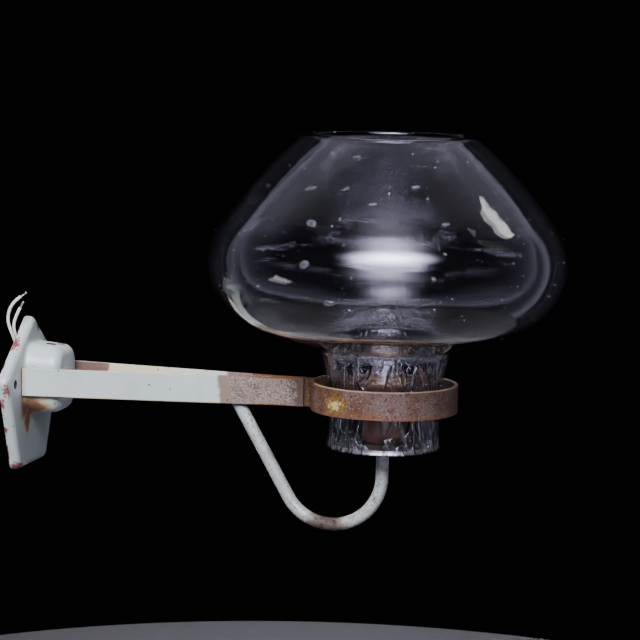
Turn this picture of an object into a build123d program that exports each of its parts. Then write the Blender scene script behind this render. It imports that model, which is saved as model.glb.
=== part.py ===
from build123d import *
import math
import os

# Bracket wall lamp: a pressed wall plate carries two flat arms with a ring at their end, and a bent
# tube between the arms carries the lamp holder and the plate on which the blown glass shade rests.
# Millimetres. The origin is on the wall, midway between the two screw holes. X points out of the
# wall, Z points up, and Y points right for someone who faces the wall.

# Wall plate, pressed from sheet
SHEET = 1.5
PLATE_TOP_Z = 50.3
PLATE_SHOULDER_Y = 64.5
PLATE_SHOULDER_Z = 5.0
PLATE_FOOT_Y = 33.0
PLATE_FOOT_Z = -70.0
PLATE_CORNER_R = 7.0
PLATE_DEPTH = 8.0
PLATE_EDGE_R = 5.0
SCREW_HOLE_Y = 45.5
SCREW_HOLE_R = 3.5

# Cup raised in the middle of the wall plate
CUP_WIDTH = 52.0
CUP_HEIGHT = 56.0
CUP_Z = 0.5
CUP_FRONT_X = 36.0
CUP_CORNER_R = 17.0
CUP_EDGE_R = 8.0
CUP_ROOT_R = 3.0
CUP_DRAFT = 5.0
CUP_HOLE_R = 4.2

# Flat bar of the arms and the ring
BAR_HEIGHT = 22.0
BAR_THICK = 3.0
BAR_EDGE_R = 0.6
ARM_TO_CUP = 3.0
ARM_BEND_R = 12.0
LAP_LENGTH = 21.0
TAIL_LENGTH = 18.0
TAIL_GAP = 0.4
RING_X = 293.0
RING_CLEARANCE = 8.9
RING_NECK_LENGTH = 6.0
RING_NECK_R = 5.0

# Bent tube
TUBE_R = 5.0
TUBE_WALL = 1.0
LEG_ANGLE = 60.0
UPPER_BEND_R = 25.0
LOWER_BEND_R = 40.0
LOWER_BEND_Z = -63.5
FIT = 0.15

# Clamp of the tube in the cup
COLLAR_R = 8.5
COLLAR_THICK = 6.0
WASHER_R = 9.5
WASHER_THICK = 1.2
NUT_ACROSS_FLATS = 14.0
NUT_THICK = 4.0
THREAD_END = 2.3
BUSH_FLANGE_THICK = 1.5
BUSH_SPIGOT = 5.0
BUSH_CLEARANCE = 0.2

# Blown glass shade, heights above its lower rim
SHADE_RIM_Z = -39.4
SHADE_WALL = 4.2
LIP_R = 45.1
WAIST_R = 43.3
WAIST_H = 18.5
NECK_TOP_R = 50.0
NECK_TOP_H = 75.0
SHOULDER_R = 8.0
UNDERSIDE_ANGLE = 18.0
BELLY_R = 139.8
BELLY_ARC_R = 54.5
BELLY_END_ANGLE = 126.0
MOUTH_R = 66.0
SHADE_H = 242.6

# Plate under the shade
SEAT_CLEARANCE = 0.3
SEAT_PLATE_THICK = 2.0
SEAT_PLATE_H = 1.2
VENT_COUNT = 6
VENT_R = 5.0

# Lamp holder, heights above the plate under the shade
HOLDER_R = 19.0
HOLDER_WALL = 3.0
HOLDER_FOOT_R = 13.0
HOLDER_FOOT_H = 7.0
CAP_FLOOR = 6.0
CAP_H = 27.0
BODY_H = 21.0
LEDGE = 1.5
SPIGOT_H = 4.0
SEAM_BEVEL = 0.6
BODY_LIP = 1.6
INSERT_FLANGE = 3.8
INSERT_NOSE = 6.0
SHELL_R = 13.3
SHELL_THICK = 0.6
SHELL_H = 17.0
SHELL_FLANGE = 2.1
TERMINAL_Y = 5.5
TERMINAL_W = 7.0
TERMINAL_DEPTH = 5.0
TERMINAL_H = 6.0
SMALL_SCREW_R = 1.4
SMALL_SCREW_HEAD_R = 2.3
SMALL_SCREW_HEAD_H = 1.4
GRUB_R = 1.5
GRUB_LENGTH = 8.0

# Contacts in the holder
STRIP_WIDTH = 6.0
STRIP_THICK = 0.6
STRIP_GAP = 0.3
CONTACT_ROOT = -6.0
CONTACT_RISE = 3.6
CONTACT_SINK = 0.6
CONTACT_PAD = 3.0
RIVET_HEAD_R = 2.0
RIVET_HEAD_H = 0.6

# Leads
LEAD_R = 1.2
CORE_R = 0.7
CORE_LENGTH = 6.0
LEAD_SPACING = 3.0
LEAD_STUB = 0.5

# Share of a lead's run or of a wall that a rounding takes
ROUND_SHARE = 0.45

# Places worked out from the sizes above
ARM_ROOT_Y = CUP_WIDTH / 2 + ARM_TO_CUP + BAR_THICK
ARM_LAP_Y = TAIL_GAP / 2 + BAR_THICK
RING_R = LIP_R + RING_CLEARANCE + BAR_THICK
LAP_END_X = RING_X - RING_R - RING_NECK_LENGTH
LAP_START_X = LAP_END_X - LAP_LENGTH
TAIL_START_X = LAP_END_X - TAIL_LENGTH
WASHER_X = CUP_FRONT_X - SHEET - WASHER_THICK
STEM_NUT_X = WASHER_X - NUT_THICK
TUBE_START_X = STEM_NUT_X - THREAD_END
TUBE_BORE_R = TUBE_R - TUBE_WALL
BUSH_X = TUBE_START_X - BUSH_FLANGE_THICK
BUSH_BORE_R = LEAD_SPACING / 2 + LEAD_R + BUSH_CLEARANCE
LEAD_EXIT_X = BUSH_X - LEAD_STUB
SEAT_TOP_Z = SHADE_RIM_Z + SEAT_PLATE_H + SEAT_PLATE_THICK
HOLDER_Z = SEAT_TOP_Z
STEM_TOP_Z = HOLDER_Z + CAP_FLOOR
CAP_BORE_R = HOLDER_R - HOLDER_WALL
LEDGE_H = CAP_H - SPIGOT_H - INSERT_FLANGE
INSERT_TOP_H = CAP_H - SPIGOT_H + INSERT_NOSE
WELL_DEPTH = CONTACT_RISE + STRIP_THICK + CONTACT_SINK
WELL_FLOOR_H = INSERT_TOP_H - WELL_DEPTH
WELL_R = SHELL_R - SHELL_FLANGE
CONTACT_FOOT_END = FIT - math.sqrt(WELL_R**2 - (STRIP_WIDTH / 2) ** 2)
TERMINAL_Z = HOLDER_Z + LEDGE_H - TERMINAL_H

# Routes of the free ends of the leads, from the bush to the end of the insulation
LEAD_A_ROUTE = [
    (LEAD_EXIT_X, -LEAD_SPACING / 2, 0),
    (14, -LEAD_SPACING / 2, 0),
    (6, -6, 6.5),
    (2, -13, 16.5),
    (-0.6, -19, 27.5),
    (-3.4, -23, 37.7),
    (-6.5, -24, 46.9),
    (-5.3, -24.2, 55.9),
    (-1.2, -23.8, 62.9),
    (3.9, -23, 66.8),
]
LEAD_B_ROUTE = [
    (LEAD_EXIT_X, LEAD_SPACING / 2, 0),
    (15, LEAD_SPACING / 2, 0),
    (6, -1, 7),
    (3, -7, 16.5),
    (0.3, -13, 26.5),
    (-2.2, -17.6, 35.4),
    (-3.5, -19.3, 43.5),
    (-0.1, -19.8, 52.8),
    (2.3, -19.5, 57.4),
]


def plate_outline(inset):
    """Five-sided outline of the wall plate, drawn in by inset."""
    corners = [
        (0, PLATE_TOP_Z),
        (PLATE_SHOULDER_Y, PLATE_SHOULDER_Z),
        (PLATE_FOOT_Y, PLATE_FOOT_Z),
        (-PLATE_FOOT_Y, PLATE_FOOT_Z),
        (-PLATE_SHOULDER_Y, PLATE_SHOULDER_Z),
    ]
    outline = make_face(Polyline(*corners, close=True))
    outline = fillet(outline.vertices(), PLATE_CORNER_R)
    return offset(outline, -inset) if inset else outline


def pressed_form(inset):
    """Solid form of the pan with its cup; the inner form is the same one drawn in by the sheet."""
    face_x = PLATE_DEPTH - inset
    front_x = CUP_FRONT_X - inset
    pan = extrude(Plane.YZ * plate_outline(inset), face_x)
    pan = fillet(pan.faces().sort_by(Axis.X)[-1].edges(), PLATE_EDGE_R - inset)
    cup_base = RectangleRounded(CUP_WIDTH - 2 * inset, CUP_HEIGHT - 2 * inset, CUP_CORNER_R - inset)
    cup = extrude(Plane.YZ.offset(face_x) * Pos(0, CUP_Z) * cup_base, front_x - face_x, taper=CUP_DRAFT)
    cup = fillet(cup.faces().sort_by(Axis.X)[-1].edges(), CUP_EDGE_R - inset)
    form = pan + cup
    pan_face = form.faces().filter_by(Axis.X).sort_by(Axis.X)[1]
    return fillet(pan_face.inner_wires()[0].edges(), CUP_ROOT_R + inset)


def wall_plate():
    """Pressed pan and cup with the screw holes, the tube's hole and the holes in the cup's top and bottom."""
    shell = pressed_form(0) - pressed_form(SHEET)
    screw_hole = Plane.YZ * Cylinder(SCREW_HOLE_R, 4 * PLATE_DEPTH)
    for side in (-1, 1):
        shell -= Pos(0, side * SCREW_HOLE_Y, 0) * screw_hole
    cup_middle_x = (PLATE_DEPTH + CUP_FRONT_X) / 2
    shell -= Pos(cup_middle_x, 0, CUP_Z) * Cylinder(CUP_HOLE_R, 2 * CUP_HEIGHT)
    tube_hole = Cylinder(TUBE_R + FIT, CUP_FRONT_X)
    return shell - Pos(CUP_FRONT_X, 0, 0) * (Plane.YZ * tube_hole)


def rounded_bar(face):
    """Bar of the flat stock's height on a strip drawn in plan, with its long edges broken."""
    bar = Pos(0, 0, -BAR_HEIGHT / 2) * extrude(face, BAR_HEIGHT)
    long_edges = bar.faces().filter_by(Axis.Z).edges()
    return fillet(long_edges, BAR_EDGE_R)


def arm(side):
    """Flat arm from the wall plate's face to its lap on the ring's tail."""
    lap_y = ARM_LAP_Y + BAR_THICK
    slope = (ARM_ROOT_Y - lap_y) / (LAP_START_X - PLATE_DEPTH)
    start = (0, ARM_ROOT_Y + slope * PLATE_DEPTH)
    outer = FilletPolyline(start, (LAP_START_X, lap_y), (LAP_END_X, lap_y), radius=ARM_BEND_R)
    strip = make_face(offset(outer, BAR_THICK, side=Side.RIGHT, closed=True))
    bar = rounded_bar(strip)
    bar = split(bar, Plane.YZ.offset(PLATE_DEPTH), keep=Keep.TOP)
    return bar if side > 0 else mirror(bar, Plane.XZ)


def ring_band():
    """Flat bar bent into a ring, with its two ends side by side as a tail."""
    tail_length = RING_X - TAIL_START_X
    tail_centre = TAIL_START_X + tail_length / 2
    disc = Pos(RING_X, 0) * Circle(RING_R)
    tail = Pos(tail_centre, 0) * Rectangle(tail_length, 2 * ARM_LAP_Y)
    outer = disc + tail
    necks = [v for v in outer.vertices() if v.X > TAIL_START_X + BAR_THICK]
    outer = fillet(necks, RING_NECK_R)
    strip = outer - offset(outer, -BAR_THICK)
    strip -= Pos(TAIL_START_X, 0) * Rectangle(4 * BAR_THICK, TAIL_GAP)
    return rounded_bar(strip)


def stem_path(y, start_x, end_z):
    """Centre line in a plane of constant Y: out of the cup, down the sloping leg and up under the ring."""
    lean = math.radians(LEG_ANGLE)
    lower_centre_x = RING_X - LOWER_BEND_R
    leg_foot = (
        lower_centre_x - LOWER_BEND_R * math.sin(lean),
        LOWER_BEND_Z - LOWER_BEND_R * math.cos(lean),
    )
    leg_head_z = -UPPER_BEND_R * (1 - math.cos(lean))
    leg_head_x = leg_foot[0] - (leg_head_z - leg_foot[1]) / math.tan(lean)
    bend_x = leg_head_x - UPPER_BEND_R * math.sin(lean)
    down = (math.cos(lean), -math.sin(lean))
    run = Line((start_x, 0), (bend_x, 0))
    upper = JernArc((bend_x, 0), (1, 0), UPPER_BEND_R, -LEG_ANGLE)
    leg = Line(upper @ 1, leg_foot)
    lower = JernArc(leg_foot, down, LOWER_BEND_R, LEG_ANGLE + 90)
    upright = Line(lower @ 1, (RING_X, end_z))
    plane = Plane(origin=(0, y, 0), x_dir=(1, 0, 0), z_dir=(0, -1, 0))
    return [plane * edge for edge in (run, upper, leg, lower, upright)]


def swept(path_edges, section):
    """Section swept along a chain of tangent edges."""
    path = Wire(path_edges)
    start = Plane(origin=path @ 0, z_dir=path % 0)
    return sweep(start * section, path=path)


def stem_tube():
    """Bent tube with an open bore from the cup to the lamp holder."""
    path = stem_path(0, TUBE_START_X, STEM_TOP_Z)
    return swept(path, Circle(TUBE_R) - Circle(TUBE_BORE_R))


def along_x(x, shape):
    """Shape drawn along Z, laid along X with its base at x."""
    return Plane.YZ.offset(x) * shape


def stem_collar():
    """Domed collar on the tube against the front of the cup."""
    ring = extrude(Circle(COLLAR_R), COLLAR_THICK)
    ring = fillet(ring.edges().sort_by(Axis.Z)[-1], COLLAR_THICK / 2)
    ring -= extrude(Circle(TUBE_R + FIT), COLLAR_THICK)
    return along_x(CUP_FRONT_X, ring)


def stem_washer():
    """Flat washer on the tube inside the cup."""
    ring = extrude(Circle(WASHER_R) - Circle(TUBE_R + FIT), WASHER_THICK)
    return along_x(WASHER_X, ring)


def hex_nut():
    """Thin hexagon nut for the tube's thread."""
    outline = RegularPolygon(NUT_ACROSS_FLATS / 2, 6, major_radius=False)
    return extrude(outline - Circle(TUBE_R + FIT), NUT_THICK)


def stem_nut():
    """Nut that clamps the tube from inside the cup."""
    return along_x(STEM_NUT_X, hex_nut())


def cable_bush():
    """Insulating bush in the tube's open end."""
    flange = extrude(Circle(TUBE_R) - Circle(BUSH_BORE_R), BUSH_FLANGE_THICK)
    spigot = extrude(Circle(TUBE_BORE_R - FIT) - Circle(BUSH_BORE_R), BUSH_FLANGE_THICK + BUSH_SPIGOT)
    return along_x(BUSH_X, flange + spigot)


def plate_nut():
    """Nut on the tube that carries the plate under the shade."""
    return Pos(RING_X, 0, SEAT_TOP_Z - SEAT_PLATE_THICK - NUT_THICK) * hex_nut()


def lip_radius(height):
    """Outer radius of the shade's lip at a height below the waist."""
    flare = LIP_R - WAIST_R
    arc_r = (WAIST_H**2 + flare**2) / (2 * flare)
    return WAIST_R + arc_r - math.copysign(math.sqrt(arc_r**2 - (WAIST_H - height) ** 2), arc_r)


def shade_line():
    """Outer line of the shade from its lower rim to its mouth, radius across and height up."""
    lean = math.radians(UNDERSIDE_ANGLE)
    turn = math.radians(BELLY_END_ANGLE)
    lip = TangentArc((WAIST_R, WAIST_H), (LIP_R, 0), tangent=(0, -1))
    neck = TangentArc((WAIST_R, WAIST_H), (NECK_TOP_R, NECK_TOP_H), tangent=(0, 1))
    belly_centre_r = BELLY_R - BELLY_ARC_R
    underside_end_r = belly_centre_r + BELLY_ARC_R * math.sin(lean)
    underside_end_h = NECK_TOP_H + (underside_end_r - NECK_TOP_R) * math.tan(lean)
    belly_centre_h = underside_end_h + BELLY_ARC_R * math.cos(lean)
    belly_end = (
        belly_centre_r + BELLY_ARC_R * math.sin(turn),
        belly_centre_h - BELLY_ARC_R * math.cos(turn),
    )
    underside = Line((NECK_TOP_R, NECK_TOP_H), (underside_end_r, underside_end_h))
    belly = JernArc((underside_end_r, underside_end_h), (math.cos(lean), math.sin(lean)), BELLY_ARC_R,
                    BELLY_END_ANGLE - UNDERSIDE_ANGLE)
    cone = TangentArc(belly_end, (MOUTH_R, SHADE_H), tangent=(math.cos(turn), math.sin(turn)))
    return lip, neck, underside, belly, cone


def glass_shade():
    """Blown shade: a wall of even thickness along the outer line, with a soft shoulder and melted rims."""
    outer = Wire(list(shade_line()))
    outer = outer.fillet_2d(SHOULDER_R, [v for v in outer.vertices() if abs(v.Y - NECK_TOP_H) < FIT])
    section = make_face(offset(outer, SHADE_WALL, side=Side.RIGHT, closed=True))
    rims = section.vertices().sort_by(Axis.Y)
    section = fillet([rims[0], rims[1], rims[-1], rims[-2]], SHADE_WALL * ROUND_SHARE)
    shade = revolve(Plane.XZ * section, Axis.Z)
    return Pos(RING_X, 0, SHADE_RIM_Z) * shade


def shade_plate():
    """Vented plate on the tube, just inside the flared lip of the shade."""
    radius = lip_radius(SEAT_PLATE_H + SEAT_PLATE_THICK) - SHADE_WALL - SEAT_CLEARANCE
    disc = Circle(radius) - Circle(TUBE_R + FIT)
    disc -= PolarLocations((HOLDER_R + radius) / 2, VENT_COUNT) * Circle(VENT_R)
    return Pos(RING_X, 0, SEAT_TOP_Z - SEAT_PLATE_THICK) * extrude(disc, SEAT_PLATE_THICK)


def turned(points, z):
    """Solid of revolution about the lamp's axis from radius and height points above z."""
    section = make_face(Polyline(*points, close=True))
    return Pos(RING_X, 0, z) * revolve(Plane.XZ * section, Axis.Z)


def holder_cap():
    """Lower half of the lamp holder, screwed on the tube, with the ledge for the insert."""
    low_bore_r = CAP_BORE_R - LEDGE
    cap = turned(
        [
            (TUBE_R + FIT, 0),
            (HOLDER_FOOT_R, 0),
            (HOLDER_R, HOLDER_FOOT_H),
            (HOLDER_R, CAP_H - SEAM_BEVEL),
            (HOLDER_R - SEAM_BEVEL, CAP_H),
            (CAP_BORE_R, CAP_H),
            (CAP_BORE_R, LEDGE_H),
            (low_bore_r, LEDGE_H),
            (low_bore_r, CAP_FLOOR),
            (TUBE_R + FIT, CAP_FLOOR),
        ],
        HOLDER_Z,
    )
    grub_hole = Cylinder(GRUB_R + FIT, HOLDER_R, align=(Align.CENTER, Align.CENTER, Align.MIN))
    return cap - Pos(RING_X, 0, HOLDER_Z + CAP_FLOOR / 2) * (Plane.YZ * grub_hole)


def holder_body():
    """Upper half of the lamp holder, with its spigot inside the cap and a lip round its mouth."""
    spigot_bore_r = SHELL_R + SHELL_THICK + FIT
    top = CAP_H + BODY_H
    return turned(
        [
            (CAP_BORE_R - FIT, CAP_H - SPIGOT_H),
            (CAP_BORE_R - FIT, CAP_H),
            (HOLDER_R - SEAM_BEVEL, CAP_H),
            (HOLDER_R, CAP_H + SEAM_BEVEL),
            (HOLDER_R, top - BODY_LIP),
            (HOLDER_R - BODY_LIP, top),
            (spigot_bore_r, top),
            (spigot_bore_r, CAP_H - SPIGOT_H),
        ],
        HOLDER_Z,
    )


def holder_insert():
    """Porcelain insert with the contact's well, held between the cap's ledge and the body's spigot."""
    flange_r = CAP_BORE_R - FIT
    return turned(
        [
            (0, LEDGE_H),
            (flange_r, LEDGE_H),
            (flange_r, LEDGE_H + INSERT_FLANGE),
            (SHELL_R, LEDGE_H + INSERT_FLANGE),
            (SHELL_R, INSERT_TOP_H),
            (WELL_R, INSERT_TOP_H),
            (WELL_R, WELL_FLOOR_H),
            (0, WELL_FLOOR_H),
        ],
        HOLDER_Z,
    )


def screw_shell():
    """Brass lamp shell, with the flange at its foot that lies on the insert."""
    wall = extrude(Circle(SHELL_R + SHELL_THICK) - Circle(SHELL_R), SHELL_H)
    flange = extrude(Circle(SHELL_R + SHELL_THICK) - Circle(WELL_R), SHELL_THICK)
    return Pos(RING_X, 0, HOLDER_Z + INSERT_TOP_H) * (wall + flange)


def strip_piece(points):
    """Bent strip across Y in the insert's well; points run along its lower side."""
    line = Polyline(*points)
    section = make_face(offset(line, STRIP_THICK, side=Side.LEFT, closed=True))
    bent = extrude(Plane.XZ * section, STRIP_WIDTH / 2, both=True)
    return Pos(RING_X, 0, HOLDER_Z + WELL_FLOOR_H) * bent


def centre_contact():
    """Sprung tongue from its root to the pad under the lamp's tip."""
    root = CONTACT_ROOT + STRIP_GAP + STRIP_THICK
    ramp_end = -CONTACT_PAD
    return strip_piece([(root, STRIP_GAP), (ramp_end, CONTACT_RISE), (CONTACT_PAD, CONTACT_RISE)])


def contact_foot():
    """Fixed foot of the tongue, under its rivet."""
    return strip_piece([(CONTACT_FOOT_END, 0), (CONTACT_ROOT, 0)])


def contact_rivet():
    """Rivet head that holds the foot in the well."""
    head = extrude(Circle(RIVET_HEAD_R), RIVET_HEAD_H)
    head = fillet(head.edges().sort_by(Axis.Z)[-1], RIVET_HEAD_H * ROUND_SHARE)
    foot_x = RING_X + (CONTACT_ROOT + CONTACT_FOOT_END) / 2
    return Pos(foot_x, 0, HOLDER_Z + WELL_FLOOR_H + STRIP_THICK) * head


def terminal_blocks():
    """Brass blocks under the insert, each with the hole for its lead."""
    block = Box(TERMINAL_W, TERMINAL_DEPTH, TERMINAL_H, align=(Align.CENTER, Align.CENTER, Align.MIN))
    hole = Cylinder(LEAD_R + FIT, TERMINAL_H, align=(Align.CENTER, Align.CENTER, Align.MIN))
    block -= hole
    screw_hole = Cylinder(SMALL_SCREW_R + FIT, TERMINAL_W, align=(Align.CENTER, Align.CENTER, Align.MIN))
    block -= Pos(0, 0, TERMINAL_H / 2) * (Plane.YZ * screw_hole)
    return Compound([Pos(RING_X, side * TERMINAL_Y, TERMINAL_Z) * block for side in (-1, 1)])


def terminal_screws():
    """Cheese-head screws in the ends of the blocks."""
    shank_length = TERMINAL_W / 2 - LEAD_R - FIT
    shank = Cylinder(SMALL_SCREW_R, shank_length, align=(Align.CENTER, Align.CENTER, Align.MAX))
    head = extrude(Circle(SMALL_SCREW_HEAD_R), SMALL_SCREW_HEAD_H)
    slot = Box(SMALL_SCREW_HEAD_R * 2, SMALL_SCREW_HEAD_H / 2, SMALL_SCREW_HEAD_H)
    screw = shank + head - Pos(0, 0, SMALL_SCREW_HEAD_H) * slot
    height = TERMINAL_Z + TERMINAL_H / 2
    face_x = RING_X + TERMINAL_W / 2
    screw = Plane.YZ * screw
    return Compound([Pos(face_x, side * TERMINAL_Y, height) * screw for side in (-1, 1)])


def grub_screw():
    """Set screw in the cap's floor that locks the holder on the tube."""
    screw = extrude(Circle(GRUB_R), GRUB_LENGTH)
    return Pos(RING_X + TUBE_R, 0, HOLDER_Z + CAP_FLOOR / 2) * (Plane.YZ * screw)


def inner_lead(side):
    """Lead inside the tube, from the bush to its terminal."""
    y = side * LEAD_SPACING / 2
    rise_z = STEM_TOP_Z - 2 * LEAD_R
    path = stem_path(y, LEAD_EXIT_X, rise_z)
    bend_points = [
        (RING_X, y, rise_z),
        (RING_X, y, STEM_TOP_Z),
        (RING_X, side * TERMINAL_Y, TERMINAL_Z - LEAD_R),
        (RING_X, side * TERMINAL_Y, TERMINAL_Z + TERMINAL_H / 2),
    ]
    spread = FilletPolyline(*bend_points, radius=LEAD_SPACING)
    return swept(path + list(spread.edges()), Circle(LEAD_R))


def route_radii(route):
    """Largest arc at each inner point of a route that its two runs allow."""
    points = [Vector(*p) for p in route]
    radii = []
    for before, here, after in zip(points, points[1:], points[2:]):
        turn = math.radians((here - before).get_angle(after - here))
        shorter = min((here - before).length, (after - here).length)
        radii.append(ROUND_SHARE * shorter / math.tan(turn / 2))
    return radii


def lead_tail(name, route):
    """Free end of a lead behind the plate, along tangent runs and arcs."""
    radii = route_radii(route)
    path = FilletPolyline(*route, radius=radii)
    tail = swept(list(path.edges()), Circle(LEAD_R))
    section = math.pi * LEAD_R**2
    print(name, "length", round(path.length, 1), "volume ratio", round(tail.volume / (section * path.length), 4),
          "radii", [round(r, 1) for r in radii])
    return tail


def bare_core(route):
    """Stripped end of a lead."""
    end = Vector(*route[-1])
    direction = end - Vector(*route[-2])
    return Plane(origin=end, z_dir=direction) * extrude(Circle(CORE_R), CORE_LENGTH)


PARTS = {
    "wall_plate": wall_plate(),
    "left_arm": arm(-1),
    "right_arm": arm(1),
    "ring_band": ring_band(),
    "stem_tube": stem_tube(),
    "stem_collar": stem_collar(),
    "stem_washer": stem_washer(),
    "stem_nut": stem_nut(),
    "cable_bush": cable_bush(),
    "plate_nut": plate_nut(),
    "shade_plate": shade_plate(),
    "glass_shade": glass_shade(),
    "holder_cap": holder_cap(),
    "holder_body": holder_body(),
    "holder_insert": holder_insert(),
    "screw_shell": screw_shell(),
    "centre_contact": centre_contact(),
    "contact_foot": contact_foot(),
    "contact_rivet": contact_rivet(),
    "terminal_blocks": terminal_blocks(),
    "terminal_screws": terminal_screws(),
    "grub_screw": grub_screw(),
    "inner_lead_a": inner_lead(-1),
    "inner_lead_b": inner_lead(1),
    "lead_a_tail": lead_tail("lead_a_tail", LEAD_A_ROUTE),
    "lead_b_tail": lead_tail("lead_b_tail", LEAD_B_ROUTE),
    "lead_a_core": bare_core(LEAD_A_ROUTE),
    "lead_b_core": bare_core(LEAD_B_ROUTE),
}

os.makedirs("parts", exist_ok=True)
for node, shape in PARTS.items():
    export_step(shape, f"parts/{node}.step")
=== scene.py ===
import math
import random

import bmesh
import bpy
from mathutils import Matrix, Vector, noise


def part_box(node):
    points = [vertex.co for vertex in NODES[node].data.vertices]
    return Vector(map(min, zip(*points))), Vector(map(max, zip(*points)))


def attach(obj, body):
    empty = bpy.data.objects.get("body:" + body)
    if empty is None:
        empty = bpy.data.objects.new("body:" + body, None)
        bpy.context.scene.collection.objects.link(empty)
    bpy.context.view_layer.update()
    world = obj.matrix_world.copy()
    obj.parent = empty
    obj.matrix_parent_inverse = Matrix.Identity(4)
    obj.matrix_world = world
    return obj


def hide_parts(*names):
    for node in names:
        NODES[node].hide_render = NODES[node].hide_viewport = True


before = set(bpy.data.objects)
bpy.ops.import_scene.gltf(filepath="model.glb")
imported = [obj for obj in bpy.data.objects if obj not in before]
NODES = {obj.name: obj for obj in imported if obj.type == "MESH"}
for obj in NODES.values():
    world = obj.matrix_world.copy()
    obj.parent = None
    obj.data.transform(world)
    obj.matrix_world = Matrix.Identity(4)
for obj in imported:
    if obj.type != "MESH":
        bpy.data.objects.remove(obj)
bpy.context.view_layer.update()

# Camera, fitted to the photograph's 640 pixel frame; angles in degrees
AZIMUTH = 12.5
ELEVATION = 6.8
ROLL = 1.3
DISTANCE = 2.0
FOCAL_PIXELS = 2573.0
FRAME_PIXELS = 640.0
SENSOR = 36.0
TARGET = Vector((0.2407, 0.0, 0.0570))

# Stage: the floor, the point that the lights aim at and the cone of the top light in degrees
FLOOR_Z = -0.31
FLOOR_R = 0.56
FLOOR_PLACE = (0.24, -0.03)
FLOOR_SEGMENTS = 128
LIGHT_AIM = Vector((0.22, 0.0, 0.05))
TOP_SPREAD = 28.0

# Surroundings that the glass mirrors: their tint, then how bright each part of them is
ROOM_TINT = (0.74, 0.73, 1.0, 1.0)
DARK_LEVEL = 0.002
HAZE_LEVEL = 0.018
ROOM_LEVEL = 0.015
SIDE_LEVEL = 0.13
CEILING_LEVEL = 0.24
BORDER_LEVEL = 0.34
# Where each part begins and where it is full: -1 is straight behind the lamp, 1 straight in front of it
HAZE_RANGE = (-0.97, -0.75)
ROOM_RANGE = (-0.55, -0.505)
SIDE_RANGE = (0.30, -0.40)
CEILING_RANGE = (0.15, -0.25)
BORDER_RANGE = (-0.34, -0.48)
GLOW_RANGE = (0.15, 0.60)
# The ceiling also begins at a rise above the view's middle
CEILING_RISE = (0.45, 0.75)
# Soft glows: brightness, half width, half height and rise above the view's middle
GLOWS = [
    (120.0, 0.62, 0.30, 0.36),
    (12.0, 0.58, 0.50, 0.62),
    (8.0, 0.42, 0.34, -0.54),
]

# Places read from the frame
TUBE_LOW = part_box("stem_tube")[0]
GLASS_LOW, GLASS_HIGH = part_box("glass_shade")
SHELL_LOW, SHELL_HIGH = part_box("screw_shell")
AXIS_X = (GLASS_LOW.x + GLASS_HIGH.x) / 2

# Leads: the routes of the model's two free ends, in metres
LEAD_D = 0.0024
LEAD_A_ROUTE = [
    (0.025, -0.0015, 0.0),
    (0.014, -0.0015, 0.0),
    (0.006, -0.006, 0.0065),
    (0.002, -0.013, 0.0165),
    (-0.0006, -0.019, 0.0275),
    (-0.0034, -0.023, 0.0377),
    (-0.0065, -0.024, 0.0469),
    (-0.0053, -0.0242, 0.0559),
    (-0.0012, -0.0238, 0.0629),
    (0.0039, -0.023, 0.0668),
]
LEAD_B_ROUTE = [
    (0.025, 0.0015, 0.0),
    (0.015, 0.0015, 0.0),
    (0.006, -0.001, 0.007),
    (0.003, -0.007, 0.0165),
    (0.0003, -0.013, 0.0265),
    (-0.0022, -0.0176, 0.0354),
    (-0.0035, -0.0193, 0.0435),
    (-0.0001, -0.0198, 0.0528),
    (0.0023, -0.0195, 0.0574),
]
# Strands of a stripped end: their lengths as shares of the core, twist in radians and splay at the tip
CORE_LENGTH = 0.006
STRAND_R = 0.00023
STRAND_COUNT = 7
STRAND_SHARES = (0.97, 0.94, 0.91)
STRAND_TWIST = 1.6
STRAND_SPLAY = 0.25
STRAND_STEPS = 9
STRAND_SIDES = 8

# Blown glass: its mesh, with the steps of its smoothed outline in one spacing
GLASS_SPACING = 0.0024
GLASS_SEGMENTS = 240
OUTLINE_STEPS = 4
MERGE_DISTANCE = 1e-6
TINY = 1e-9
# How far its wall wanders in the bowl and in the neck, and the flutes' twist in radians per metre
BOWL_WAVE = 0.0004
BOWL_RIPPLE = 0.00006
NECK_FLUTE = 0.00014
FLUTE_TWIST = 7.0
# How fast each kind of wander changes round the axis and per metre of height
WAVE_RATE = (2.2, 22)
RIPPLE_RATE = (5.0, 70)
FLUTE_RATE = (9.0, 22)
# Heights above the lip where the wander begins and is full, and how far below the mouth it starts to fade
LIP_CALM = (0.006, 0.022)
MOUTH_CALM = 0.012
# Heights above the lip below which the neck begins, and below which its flutes and creases are full
NECK_TOP = 0.085
FLUTES_FULL = 0.065
CREASES_FULL = 0.060

# Large bubbles in the glass: height above the lip and degrees round the axis, both at their middle,
# then length, width and tilt
BIG_BUBBLES = [
    (0.205, -113, 0.0105, 0.0050, 20),
    (0.209, -68, 0.0075, 0.0038, 0),
    (0.196, -85, 0.0072, 0.0030, 15),
    (0.181, -106, 0.0095, 0.0066, -25),
    (0.185, -96, 0.0040, 0.0024, 80),
    (0.203, -79, 0.0055, 0.0024, 85),
    (0.183, -59, 0.0070, 0.0032, 5),
    (0.153, -105, 0.0080, 0.0062, 15),
    (0.145, -65, 0.0046, 0.0030, -30),
    (0.125, -97, 0.0090, 0.0048, 0),
    (0.121, -80, 0.0115, 0.0040, 5),
    (0.228, -97, 0.0070, 0.0036, 0),
    (0.160, 70, 0.0100, 0.0050, 30),
    (0.190, 120, 0.0080, 0.0040, -15),
    (0.170, 20, 0.0090, 0.0045, 10),
    (0.200, 165, 0.0085, 0.0040, 25),
]
BUBBLE_DEPTH = 0.0024
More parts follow.
